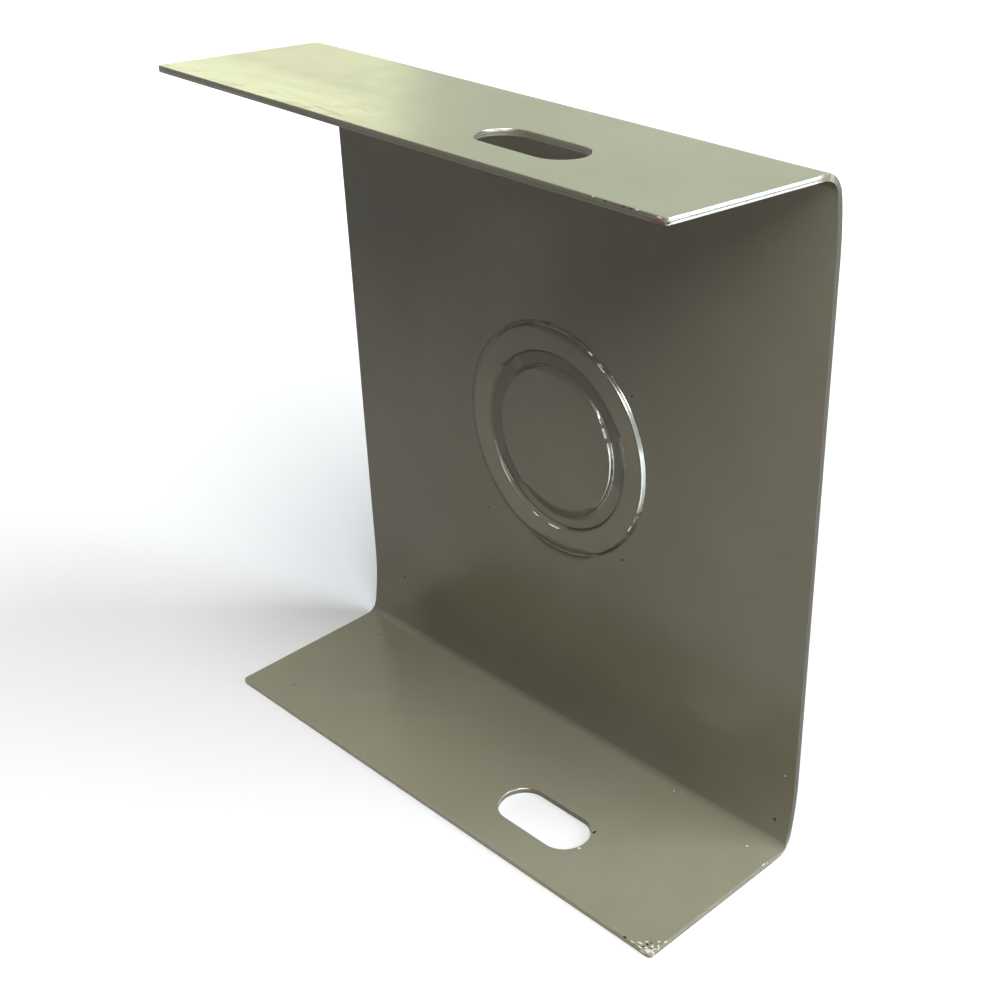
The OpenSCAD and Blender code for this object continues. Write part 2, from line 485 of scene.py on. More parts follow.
def fold_painted_shade(sheet, layout, at):
    """Share of painted shade in the bottom fold and on the web just above it."""
    # full from 2 to 6 mm above the flange's flat, and gone 22 mm above it
    up = layout["bottom_flat"] - at[:, 0]
    across = smooth_step((up + 0.5 * MM) / (2.5 * MM)) * (1 - smooth_step((up - 6 * MM) / (16 * MM)))
    half = sheet.width / 2
    left = smooth_step((at[:, 1] + half - 8 * MM) / (14 * MM))
    right = smooth_step((half + 6 * MM - at[:, 1]) / (36 * MM))
    return FOLD_SHADE * across * left * right


def knockout_points(sizes, centre):
    """Points in rings round the knockout, closest together at its cuts."""
    near = np.array([0, 0.05, 0.1, 0.15, 0.2, 0.27, 0.36, 0.5, 0.75, 1.1, 1.5, 2.0]) * MM
    # points on a ring by a cut, how far apart they are on the disc, and the least between rings
    fine, coarse, closest = 288, 2.2 * MM, 0.02 * MM
    cuts = [cut[0] for cut in knockout_cuts(sizes)]
    radii = {round(r + side * n, 7): fine for r in cuts for side in (-1, 1) for n in near}
    inner, outer = min(radii), max(radii)
    for r in np.arange(coarse, inner - coarse / 2, coarse):
        radii[round(r, 7)] = max(6, int(2 * math.pi * r / coarse))
    kept, points = [], [centre]
    for r in sorted(radii):
        if kept and radii[r] == fine and r - kept[-1] < closest:
            continue
        kept.append(r)
        a = np.arange(radii[r]) * 2 * math.pi / radii[r]
        points += list(centre + r * np.c_[np.cos(a), np.sin(a)])
    return np.array(points), outer


def offset(loop, out, distance):
    """A loop's points, moved this far back from its edge."""
    return loop - out * distance


def drift(at, wave):
    """Slow rise and fall over the blank, between about -1 and 1."""
    values = [noise.noise(Vector((x / wave, y / wave, 0.37))) for x, y in at]
    return 2 * np.array(values)


def edge_highlight_bare(sheet, layout, at, out):
    """Share of bare steel, partly a painted highlight: the top flange's right end, the slots' left
    ends.
    """
    on_end = at[:, 1] > sheet.width / 2 - MM
    end = smooth_step((layout["top_flat"] - 0.6 * MM - at[:, 0]) / (0.6 * MM))
    end *= smooth_step(at[:, 0] / MM)
    in_slot = np.abs(at[:, 1]) < sheet.width / 2 - MM
    in_slot &= np.minimum(at[:, 0], layout["total"] - at[:, 0]) > 4 * MM
    left = smooth_step((out[:, 1] - 0.3) / 0.5)
    return np.where(on_end, END_HIGHLIGHT_BARE * end, np.where(in_slot, SLOT_HIGHLIGHT_BARE * left, 0))


def edge_dirt_and_shade(sheet, layout, at, in_slot):
    """Share of dirt on the sheared edges, more in the slots, the most on the web's two ends as
    painted shade, and more on the top free edge, which is darker.
    """
    if in_slot:
        return np.full(len(at), SLOT_DIRT)
    near_end = np.abs(at[:, 1]) > sheet.width / 2 - MM
    past_fold = smooth_step((at[:, 0] - layout["top_flat"] - MM) / (3 * MM))
    before_flange = smooth_step((layout["bottom_flat"] - at[:, 0]) / (6 * MM))
    on_web_end = WEB_END_SHADE * past_fold * before_flange
    return EDGE_DIRT + np.where(near_end, on_web_end, TOP_EDGE_DARK * (at[:, 0] < MM))


def edge_painted_light(layout, at, height):
    """Share of paler paint on the two free edges, at this height in the blank's thickness: painted
    light on edge faces that would show dark.

    All of the bottom one is lightened, and of the top one the inner half towards its left end.
    """
    bottom = smooth_step((at[:, 0] - layout["total"] + MM) / MM)
    top = smooth_step(1 - at[:, 0] / MM) * smooth_step((-18 * MM - at[:, 1]) / (14 * MM))
    return np.maximum(BOTTOM_EDGE_PALE * bottom, TOP_EDGE_PALE * top * (height > 0))


def blank_layout(sheet, slots, knockout):
    """Where the slots and the knockout lie on the flat blank."""
    runs = section_runs(sheet)
    total = sum(run for run, _ in runs)
    bottom_h, _ = corner(
        sheet, sheet.bottom_fold_r, sheet.bottom_lead, sheet.bottom_open, sheet.bottom_depth
    )
    below_web = sum(run for run, _ in runs[4:])
    return {
        "total": total,
        "top_flat": runs[0][0],
        "bottom_flat": total - runs[-1][0],
        "top_slot": np.array([slots.top_in, slots.side]),
        "bottom_slot": np.array([total - slots.bottom_in, slots.side]),
        "knockout": np.array([total - below_web - (knockout.up - bottom_h), knockout.side]),
    }


def fold_share(sheet, s):
    """1 in the middle of each fold, easing to 0 just past its ends."""
    share, start = np.zeros_like(s), 0.0
    for run, turn in section_runs(sheet):
        if turn and run / turn < sheet.lead_r:
            tightness = sheet.bottom_fold_r / (run / turn - sheet.thickness / 2)
            away = np.abs(s - start - run / 2) / (run / 2 + sheet.thickness)
            share += tightness * (1 - smooth_step(away))
        start += run
    return share


def bulge(sheet, points):
    """Moves the ends of the folds: the inner face is squeezed out and the outer one drawn in."""
    half = sheet.width / 2
    reach = 1.2 * MM
    near_end = np.exp(-((half - np.abs(points[:, 1])) / reach))
    layer = points[:, 2] / (sheet.thickness / 2)
    squeezed = sheet.side_bulge * near_end * layer * fold_share(sheet, points[:, 0])
    points[:, 1] += np.sign(points[:, 1]) * squeezed


def burr(sheet, points):
    """Raises the burr that the press has left at the top fold's right end, with a nick below it."""
    fold = section_runs(sheet)[0][0]
    at_end = points[:, 1] > sheet.width / 2 - 0.4 * MM
    for along, size, height in ((0.5, 0.35, 0.3), (1.4, 0.4, -0.35)):
        away = (points[:, 0] - fold - along * MM) / (size * MM)
        points[:, 1] += height * MM * np.exp(-(away ** 2)) * at_end


def edge_profile(sheet):
    """The sheared edge from its upper rim to its lower one, as (distance out, height, worn, bare).

    Its upper part has torn away from the blade and lies a little behind the lower part. The
    step between them is worn, and keeps its paint where the rest shows bare steel, which is in part a
    painted highlight.
    """
    half, e = sheet.thickness / 2, sheet.edge_round
    quarter = [math.radians(a) for a in (22.5, 45, 67.5, 90)]
    upper = [(e * math.sin(a), half - e * (1 - math.cos(a))) for a in quarter]
    lower = [(out, -z) for out, z in reversed(upper)]
    torn = e - sheet.torn
    worn_line = [(torn, 0.26 * half, 1, 0.2), (e, 0.08 * half, 1, 0.2)]
    step = [(torn, 0.36 * half, 0, 1), *worn_line, (e, -0.02 * half, 0, 1)]
    above = [(min(out, torn), z, 0.3, 1) for out, z in upper]
    return above + step + [(out, z, 0.1, 1) for out, z in lower]


def out_of_slot(at, centre, slots):
    """Distance of points of the blank from the middle line of a slot."""
    reach = (slots.slot_length - slots.slot_width) / 2
    side = at - centre
    side[:, 1] -= np.clip(side[:, 1], -reach, reach)
    return np.hypot(*side.T)


def triangulate(points, loops):
    """Joins points with triangles that keep each loop's edges.

    Gives the points, the triangles, and where each loop's points are now.
    """
    first = len(points)
    edges = []
    for at, _ in loops:
        edges += [(first + i, first + (i + 1) % len(at)) for i in range(len(at))]
        first += len(at)
    points = np.concatenate([points] + [at for at, _ in loops])
    # every triangle within the hull is wanted, and points this close, in mm, become one
    whole_hull, closest = 0, 1e-5
    made, _, faces, origins, _, _ = geometry.delaunay_2d_cdt(
        [Vector(p / MM) for p in points], edges, [], whole_hull, closest
    )
    flat = np.array([v[:] for v in made]) * MM
    place = {old: new for new, olds in enumerate(origins) for old in olds}
    tris = np.array([f[:] for f in faces])
    a, b, c = flat[tris[:, 0]], flat[tris[:, 1]], flat[tris[:, 2]]
    turned = (b - a)[:, 0] * (c - a)[:, 1] - (b - a)[:, 1] * (c - a)[:, 0] < 0
    tris[turned] = tris[turned][:, ::-1]
    rims, start = [], len(points) - sum(len(at) for at, _ in loops)
    for at, _ in loops:
        rims.append([place[start + i] for i in range(len(at))])
        start += len(at)
    return flat, tris, rims


def blank_points(sheet, slots, knockout, layout, loops):
    """Points inside the blank's edges: a lattice, rings round the knockout, and rows by each edge."""
    xs, ys = lattice_lines(sheet)
    rings, ring_r = knockout_points(knockout, layout["knockout"])
    lattice = np.array([(x, y) for x in xs[1:-1] for y in ys[1:-1]])
    # the lattice stops this far from the rings and from the slots
    past_rings, past_slots = 0.8 * MM, 2.4 * MM
    clear = np.hypot(*(lattice - layout["knockout"]).T) > ring_r + past_rings
    for slot in ("top_slot", "bottom_slot"):
        away = out_of_slot(lattice, layout[slot], slots)
        clear &= away > slots.slot_width / 2 + past_slots
    # the outer edge has only the first row behind it, and each slot has all of them
    edge_rows = (0.15 * MM, 0.9 * MM, 1.9 * MM)
    points = [lattice[clear], rings, offset(*loops[0], edge_rows[0])]
    for loop in loops[1:]:
        points += [offset(*loop, distance) for distance in edge_rows]
    return np.concatenate(points)


def sheared_edge(sheet, layout, loop, relief, seen_side):
    """The rows of points down a sheared edge, each with what its paint looks like there.

    The side that shows is 1 or -1 for a slot, up or down the blank, and 0 for the outer edge. A
    slot's wall shows bare steel at its rim on that side, at the ends that face the light: in part a
    painted highlight.
    """
    at, out = loop
    shine = edge_highlight_bare(sheet, layout, at, out)
    dirt_and_end_shade = edge_dirt_and_shade(sheet, layout, at, seen_side != 0)
    near_rim = 0.6 * (sheet.thickness / 2)
    for step, z, worn, rubbed in edge_profile(sheet):
        yield np.c_[at + out * step, z + relief], {
            "rim": worn * np.clip(1 - 2 * dirt_and_end_shade, 0, 1) * (1 - shine),
            "bare": shine * (rubbed if not seen_side else float(z * seen_side > near_rim)),
            "dirt": dirt_and_end_shade * (1 - shine),
            "pale": edge_painted_light(layout, at, z),
        }


def blank_mesh(sheet, slots, knockout):
    """The flat blank: x from the top free edge, y along the folds, z up out of the open side."""
    layout = blank_layout(sheet, slots, knockout)
    e, half = sheet.edge_round, sheet.thickness / 2
    loops = [corner_arcs(*lattice_lines(sheet), sheet.corner_round - e, steps=5)]
    for slot in ("top_slot", "bottom_slot"):
        loops.append(slot_loop(layout[slot], slots.slot_length + 2 * e, slots.slot_width + 2 * e, 36))
    flat, tris, rims = triangulate(blank_points(sheet, slots, knockout, layout, loops), loops)
    middle = flat[tris].mean(axis=1)
    sheet_left = np.ones(len(tris), bool)
    for slot in ("top_slot", "bottom_slot"):
        sheet_left &= out_of_slot(middle, layout[slot], slots) > slots.slot_width / 2 + 0.98 * e
    tris = tris[sheet_left]

    centre = layout["knockout"]
    relief = knockout_relief(knockout, centre, flat) + 0.03 * MM * drift(flat, 45 * MM)
    vertices = [np.c_[flat, relief + half], np.c_[flat, relief - half]]
    none = np.zeros(len(flat))
    # painted shadow and shade beside the cuts, on the band and in the bottom fold, with some dirt
    shade_and_dirt = np.maximum(dark_lines(knockout, centre, flat), fold_painted_shade(sheet, layout, flat))
    # shares that the paint reads: worn rim, bare steel that is partly a painted highlight, dirt with
    # painted shade, and paler paint that is painted light and sheen
    shares = {
        "rim": [none, none],
        "bare": [highlight_bare_walls(knockout, centre, flat), none],
        "dirt": [shade_and_dirt, none],
        "pale": [ring_painted_sheen(knockout, centre, flat), none],
    }
    faces = [list(t) for t in tris] + [list(t[::-1] + len(flat)) for t in tris]
    total = 2 * len(flat)
    for above, loop, seen_side in zip(rims, loops, (0, -1, 1)):
        n = len(above)
        rows = [above]
        for row, looks in sheared_edge(sheet, layout, loop, relief[above], seen_side):
            vertices.append(row)
            for name, share in looks.items():
                shares[name].append(share)
            rows.append(list(range(total, total + n)))
            total += n
        rows.append([i + len(flat) for i in above])
        for upper, lower in zip(rows, rows[1:]):
            for i in range(n):
                j = (i + 1) % n
                faces.append([upper[j], upper[i], lower[i], lower[j]])
    points = np.concatenate(vertices)
    bulge(sheet, points)
    burr(sheet, points)
    mesh = bpy.data.meshes.new("blank")
    mesh.from_pydata(points.tolist(), [], faces)
    for name, share in shares.items():
        layer = mesh.attributes.new(name, "FLOAT", "POINT")
        layer.data.foreach_set("value", np.concatenate(share))
    mesh.validate()
    return mesh


def node(tree, kind, inputs=(), **settings):
    """Adds a node, with its settings and with each input linked or given its value.

    Inputs go by socket, or in the order of the sockets. A node that is given as an input stands
    for the first output that it has in use.
    """
    made = tree.nodes.new(kind)
    for name, value in settings.items():
        setattr(made, name, value)
    pairs = inputs.items() if isinstance(inputs, dict) else enumerate(inputs)
    for key, value in pairs:
        if isinstance(value, bpy.types.Node):
            value = next(output for output in value.outputs if output.enabled)
        if isinstance(value, bpy.types.NodeSocket):
            tree.links.new(value, made.inputs[key])
        else:
            made.inputs[key].default_value = value
    return made


def geometry_tree(name, sockets, makes):
    """A tree of Geometry Nodes with these inputs, as {name: kind}, and what they are given."""
    tree = bpy.data.node_groups.new(name, "GeometryNodeTree")
    for socket, kind in sockets.items():
        tree.interface.new_socket(socket, in_out="INPUT", socket_type=f"NodeSocket{kind}")
    tree.interface.new_socket(makes, in_out="OUTPUT", socket_type="NodeSocketGeometry")
    return tree, node(tree, "NodeGroupInput").outputs


def end_tree(tree, shape, material):
    """Ends a tree of Geometry Nodes: its shape is smoothed, made real and painted."""
    smooth = node(tree, "GeometryNodeSetShadeSmooth", [shape])
    real = node(tree, "GeometryNodeRealizeInstances", [smooth])
    painted = node(tree, "GeometryNodeSetMaterial", {"Geometry": real, "Material": material})
    node(tree, "NodeGroupOutput", [painted])


def fold_tree():
    """Geometry Nodes that fold a flat blank: its x becomes the distance along a section."""
    tree, given = geometry_tree(
        "Fold the blank", {"Blank": "Geometry", "Section": "Object", "Enamel": "Material"}, "Sheet"
    )
    section = node(tree, "GeometryNodeObjectInfo", {"Object": given["Section"]})
    flat = node(tree, "ShaderNodeSeparateXYZ", [node(tree, "GeometryNodeInputPosition")]).outputs
    sample = node(
        tree, "GeometryNodeSampleCurve",
        {"Curves": section.outputs["Geometry"], "Length": flat["X"]}, mode="LENGTH",
    ).outputs
    along = node(tree, "ShaderNodeCombineXYZ", {"Y": flat["Y"]})
    inward = node(
        tree, "ShaderNodeVectorMath", [sample["Tangent"], (0, 1, 0)], operation="CROSS_PRODUCT"
    )
    inward = node(tree, "ShaderNodeVectorMath", [inward], operation="NORMALIZE")
    lifted = node(tree, "ShaderNodeVectorMath", {0: inward, "Scale": flat["Z"]}, operation="SCALE")
    beside = node(tree, "ShaderNodeVectorMath", [sample["Position"], along], operation="ADD")
    folded = node(tree, "ShaderNodeVectorMath", [beside, lifted], operation="ADD")
    moved = node(tree, "GeometryNodeSetPosition", {"Geometry": given["Blank"], "Position": folded})
    end_tree(tree, moved, given["Enamel"])
    return tree


def grown(carrier, tree, inputs, name):
    """What a tree of Geometry Nodes makes of an object, as a plain mesh object of its own."""
    modifier = carrier.modifiers.new(tree.name, "NODES")
    modifier.node_group = tree
    for socket in tree.interface.items_tree:
        if socket.name in inputs:
            modifier[socket.identifier] = inputs[socket.name]
    depsgraph = bpy.context.evaluated_depsgraph_get()
    mesh = bpy.data.meshes.new_from_object(
        carrier.evaluated_get(depsgraph), preserve_all_data_layers=True, depsgraph=depsgraph
    )
    carrier.modifiers.clear()
    mesh.name = name
    piece = bpy.data.objects.new(name, mesh)
    bpy.context.scene.collection.objects.link(piece)
    return piece


def material_tree(name):
    """A new material, its empty tree, and where its surface lies."""
    material = bpy.data.materials.new(name)
    material.use_nodes = True
    tree = material.node_tree
    tree.nodes.clear()
    return material, tree, node(tree, "ShaderNodeTexCoord").outputs["Object"]


def noise_at(tree, where, grain, detail=2.0, stretch=(1, 1, 1)):
    """Noise whose grain is about this long, drawn out along the axes by stretch."""
    scale = tuple(1 / (grain * s) for s in stretch)
    near = node(tree, "ShaderNodeVectorMath", [where, scale], operation="MULTIPLY")
    return node(tree, "ShaderNodeTexNoise", {"Vector": near, "Scale": 1.0, "Detail": detail})


def handled(tree, where):
    """1 where hands took hold of the top flange, by the left part of its free edge, else 0."""
    place = node(tree, "ShaderNodeSeparateXYZ", [where]).outputs
    near_edge = node(tree, "ShaderNodeMapRange", [place["X"], -2 * MM, 9 * MM])
    on_top = node(tree, "ShaderNodeMapRange", [place["Z"], 120 * MM, 122 * MM])
    at_left = node(tree, "ShaderNodeMapRange", [place["Y"], 5 * MM, -15 * MM])
    share = node(tree, "ShaderNodeMath", [near_edge, on_top], operation="MULTIPLY")
    return node(tree, "ShaderNodeMath", [share, at_left], operation="MULTIPLY")


def enamel_bump(tree, where, creased):
    """Orange peel in the enamel, shallow waves in the sheet, and creases where it was handled."""
    creases = noise_at(tree, where, 4 * MM, 3.0, (1, 2.5, 1))
    layers = [
        (noise_at(tree, where, 1.1 * MM), 0.006 * MM),
        (noise_at(tree, where, 9 * MM, stretch=(1, 2.2, 1)), 0.10 * MM),
        (node(tree, "ShaderNodeMath", [creases, creased], operation="MULTIPLY"), 0.3 * MM),
    ]
    bump = None
    for height, depth in layers:
        under = {"Normal": bump} if bump else {}
        inputs = {"Height": height, "Distance": depth, "Strength": 1.0, **under}
        bump = node(tree, "ShaderNodeBump", inputs)
    return bump


def baked_enamel(finish):
    """Semi-gloss enamel, sprayed and baked on sheet steel.

    It gives the eye a soft sheen with blurred reflections, faint drifts of colour, and bright
    bare steel, partly where the press has rubbed it off and partly a painted highlight where light
    falls.
    """
    material, tree, where = material_tree("baked_enamel")
    rim, pale, dirt, bare = (
        node(tree, "ShaderNodeAttribute", attribute_name=name).outputs["Fac"]
        for name in ("rim", "pale", "dirt", "bare")
    )
    clouds = node(tree, "ShaderNodeMapRange", [noise_at(tree, where, 30 * MM, 3.0), 0.35, 0.65])
    browned = noise_at(tree, where, 14 * MM, 2.0, (1, 1, 2.5))
    browned = node(tree, "ShaderNodeMapRange", [browned, 0.4, 0.7, 0, 0.35])
    # worn rims show the lighter primer
    worn = noise_at(tree, where, 0.9 * MM, 3.0)
    worn = node(tree, "ShaderNodeMapRange", [worn, 0.35, 0.65, 0.15, 0.7])
    worn = node(tree, "ShaderNodeMath", [rim, worn], operation="MULTIPLY")
    # bare steel has a broken outline
    ragged = noise_at(tree, where, 0.5 * MM, 2.0)
    ragged = node(tree, "ShaderNodeMapRange", [ragged, 0.3, 0.5, 0.55, 1.0])
    bare = node(tree, "ShaderNodeMath", [bare, ragged], operation="MULTIPLY")
    bare = node(tree, "ShaderNodeMapRange", [bare, 0.15, 0.5])
    darker, colour = ((*(c * share for c in finish.enamel), 1) for share in (0.95, 1.05))
    colour = node(tree, "ShaderNodeMix", {0: clouds, 6: darker, 7: colour}, data_type="RGBA")
    # the pale coat here paints light and sheen, the dark one paints shade with dirt, and bare steel a
    # highlight
    coats = [
        (browned, finish.brown), (worn, finish.primer), (pale, finish.primer),
        (dirt, finish.dirt), (bare, finish.steel),
    ]
    for share, coat in coats:
        colour = node(tree, "ShaderNodeMix", {0: share, 6: colour, 7: (*coat, 1)}, data_type="RGBA")
    patchy = noise_at(tree, where, 5 * MM, 2.0)
    patchy = node(tree, "ShaderNodeMapRange", [patchy, 0.3, 0.7, 0.92, 1.06])
    # hands have rubbed the enamel smoother where they took hold of the top flange
    creased = handled(tree, where)
    rubbed = node(tree, "ShaderNodeMapRange", [creased, 0, 1, 1.0, 0.55])
    steel_roughness = 0.22
    roughness = node(tree, "ShaderNodeMapRange", [bare, 0, 1, finish.roughness, steel_roughness])
    for share in (patchy, rubbed):
        roughness = node(tree, "ShaderNodeMath", [roughness, share], operation="MULTIPLY")
    uneven = enamel_bump(tree, where, creased)
    shader = node(
        tree, "ShaderNodeBsdfPrincipled",
        {
            "Base Color": colour, "Metallic": bare, "Roughness": roughness, "IOR": 1.42,
            "Normal": uneven,
        },
    )
    node(tree, "ShaderNodeOutputMaterial", [shader])
    return material


def speck_paint(finish):
    """Specks in and on the enamel: painted-over dust, open pinholes, rust and flaked primer.

    They give the eye small dots, each of one colour, duller than the enamel round them.
    """
    material, tree, where = material_tree("speck_paint")
    kind = node(tree, "ShaderNodeAttribute", attribute_name="kind").outputs["Fac"]
    grain = noise_at(tree, where, 0.2 * MM, 3.0)
    grain = node(tree, "ShaderNodeMapRange", [grain, 0.3, 0.7, 0, 0.5])
    coats = [
        (node(tree, "ShaderNodeMapRange", [kind, number - 0.6, number - 0.4]), coat)
        for number, coat in ((PIN, finish.dirt), (RUST, finish.rust), (FLAKE, finish.flake))
    ]
    colour = (*finish.enamel, 1)
    for share, coat in (*coats, (grain, finish.dirt)):
        colour = node(tree, "ShaderNodeMix", {0: share, 6: colour, 7: (*coat, 1)}, data_type="RGBA")
    shader = node(tree, "ShaderNodeBsdfPrincipled", {"Base Color": colour, "Roughness": 0.4})
    node(tree, "ShaderNodeOutputMaterial", [shader])
    return material


# Specks that the plate has, as (kind, its place in mm, length, width, turn from Y in degrees)
SPECKS = [
    (RUST, (12.62, 56.6, 125.45), 1.3, 0.36, 0), (FLAKE, (12.56, 56.84, 126.03), 0.5, 0.14, 0),
    (RUST, (12.6, 50.6, 126.1), 0.5, 0.16, 0), (FLAKE, (12.6, 52.9, 126.2), 0.35, 0.1, 0),
    (RUST, (12.6, 49.2, 126.1), 0.3, 0.12, 0), (PIN, (12.08, 58, 125.49), 0.28, 0.2, 0),
    (PIN, (-23.86, 55.79, 119.69), 0.35, 0.12, 50), (PIN, (-23.83, 55.34, 118.73), 0.5, 0.12, 70),
    (NIB, (-23.67, 49.42, 114.12), 0.2, 0.18, 0), (NIB, (-23.6, 45.28, 112.05), 0.2, 0.2, 0),
    (PIN, (-22.41, 18.17, 76.19), 0.32, 0.26, 30), (PIN, (-21.23, -19.96, 40.51), 0.2, 0.2, 0),
    (PIN, (-21.32, 16.2, 43.21), 0.34, 0.28, 20), (PIN, (-19.4, 54.75, 5.6), 0.35, 0.3, 0),
    (PIN, (-20.31, -48.24, 12.76), 0.25, 0.22, 0), (PIN, (-22.8, -26, 59), 0.18, 0.16, 0),
    (FLAKE, (-14.46, 52.55, 1.1), 0.28, 0.2, 30), (FLAKE, (-12.65, 57.8, 1.1), 0.45, 0.2, 90),
    (PIN, (-12.42, -49.6, 1.1), 0.25, 0.2, 0), (PIN, (11.24, -48.15, 1.1), 0.2, 0.2, 0),
    (NIB, (6.31, -50.42, 1.1), 0.3, 0.25, 0), (FLAKE, (-22.34, -14.68, 73.79), 0.16, 0.12, 0),
    (FLAKE, (-22.54, -11.46, 79.95), 0.14, 0.12, 0), (RUST, (-3.52, 27.91, 124.89), 0.5, 0.3, 0),
    (PIN, (1.52, 29.9, 1.1), 0.5, 0.25, 90), (FLAKE, (8.37, 28.41, 1.1), 0.45, 0.2, 60),
    (FLAKE, (6.48, 30.9, 1.1), 0.4, 0.25, 20), (FLAKE, (16.9, 55.5, 1.1), 0.5, 0.2, 0),
    (FLAKE, (16.8, 57.2, 1.1), 0.45, 0.2, 0), (FLAKE, (16.6, 57.4, 0.3), 0.6, 0.25, 0),
    (RUST, (16.0, 57.9, 0.9), 0.5, 0.2, 90), (PIN, (14.9, 56.3, 1.1), 0.2, 0.18, 0),
    (FLAKE, (13.1, 57.9, 1.1), 0.4, 0.15, 90), (PIN, (16.95, 52.2, 1.1), 0.4, 0.2, 0),
    (FLAKE, (16.3, 56.4, 1.1), 0.35, 0.16, 40), (PIN, (16.5, 55.9, 1.1), 0.3, 0.14, 60),
    (FLAKE, (15.6, 57.7, 1.1), 0.4, 0.2, 70), (FLAKE, (16.9, 53.9, 1.1), 0.5, 0.14, 0),
    (PIN, (15.9, 57.2, 1.1), 0.35, 0.12, 100), (FLAKE, (16.2, 57.9, 0.5), 0.6, 0.3, 90),
    (FLAKE, (16.98, 56.3, 0.6), 0.7, 0.25, 0), (FLAKE, (14.6, 57.6, 1.1), 0.3, 0.12, 80),
    (FLAKE, (-13.5, 57.9, 1.0), 0.35, 0.14, 90), (FLAKE, (-16.93, 32.73, 1.1), 0.2, 0.2, 0),
    (FLAKE, (-20.4, 55.74, 15.45), 0.2, 0.2, 0), (PIN, (12.6, 47.3, 126.1), 0.35, 0.14, 0),
    (PIN, (12.6, 51.8, 126.1), 0.4, 0.12, 0), (FLAKE, (12.6, 45.1, 126.2), 0.25, 0.1, 0),
    (FLAKE, (16.4, 57.3, 1.1), 0.9, 0.4, 20), (FLAKE, (15.4, 57.0, 1.1), 0.45, 0.25, 120),
    (FLAKE, (16.2, 54.9, 1.1), 0.6, 0.22, 10), (FLAKE, (13.8, 57.1, 1.1), 0.3, 0.2, 60),
    (FLAKE, (14.9, 57.9, 0.9), 0.8, 0.22, 90), (PIN, (15.6, 56.1, 1.1), 0.35, 0.18, 150),
    (FLAKE, (17.0, 56.9, 0.9), 0.9, 0.3, 0), (FLAKE, (15.2, 55.6, 1.1), 0.35, 0.14, 35),
]


def speck_places(sheet):
    """A point for each known speck, on the sheet's face next to its place."""
    surface = bvhtree.BVHTree.FromObject(sheet, bpy.context.evaluated_depsgraph_get())
    height = 0.07 * MM
    places, turns, sizes, kinds = [], [], [], []
    for kind, at, long, wide, turned in SPECKS:
        place, out, _, _ = surface.find_nearest(Vector(at) * MM)
        along = Vector((0, 1, 0)) if abs(out.y) < 0.7 else Vector((1, 0, 0))
        along = (along - out * along.dot(out)).normalized()
        along = Matrix.Rotation(math.radians(turned), 3, out) @ along
        frame_of = Matrix((along, out.cross(along), out)).transposed()
        places.append(place)
        turns.append(frame_of.to_euler())
        sizes.append((long * MM, wide * MM, height))
        kinds.append(kind)
    mesh = bpy.data.meshes.new("speck_places")
    mesh.from_pydata(places, [], [])
    for name, values in (("turned", turns), ("size", sizes)):
        layer = mesh.attributes.new(name, "FLOAT_VECTOR", "POINT")
        layer.data.foreach_set("vector", np.array([v[:] for v in values]).ravel())
    layer = mesh.attributes.new("kind", "FLOAT", "POINT")
    layer.data.foreach_set("value", np.array(kinds, float))
    carrier = bpy.data.objects.new("speck_places", mesh)
    bpy.context.scene.collection.objects.link(carrier)
    return carrier


def scattered_dust(tree, given, grain):
    """Specks that lie anywhere on the sheet: dust under the paint, and open pinholes."""
    sheet = node(tree, "GeometryNodeObjectInfo", {"Object": given["Sheet"]})
    scattered = node(
        tree, "GeometryNodeDistributePointsOnFaces",
        {"Mesh": sheet.outputs["Geometry"], "Density": given["Per Square Metre"], "Seed": 7},
    )
    chance, share = (
        node(
            tree, "FunctionNodeRandomValue", {"Min": 0.0, "Max": 1.0, "Seed": seed},
            data_type="FLOAT",
        )
        for seed in (11, 23)
    )
    # about three in ten of them are open pinholes, and the rest are dust under the paint
    open_hole = node(tree, "FunctionNodeCompare", [chance, 0.72], operation="GREATER_THAN")
    dust = node(
        tree, "GeometryNodeStoreNamedAttribute",
        {"Geometry": scattered, "Name": "kind", "Value": open_hole},
        data_type="FLOAT", domain="POINT",
    )
    few_large = node(tree, "ShaderNodeMath", [share, 2.5], operation="POWER")
    radius = node(
        tree, "ShaderNodeMapRange",
        {"Value": few_large, "To Min": given["Smallest"], "To Max": given["Largest"]},
    )
    low = node(tree, "ShaderNodeMath", [radius, 0.4], operation="MULTIPLY")
    size = node(tree, "ShaderNodeCombineXYZ", [radius, radius, low])
    upright = scattered.outputs["Rotation"]
    return node(
        tree, "GeometryNodeInstanceOnPoints",
        {"Points": dust, "Instance": grain, "Rotation": upright, "Scale": size},
    )


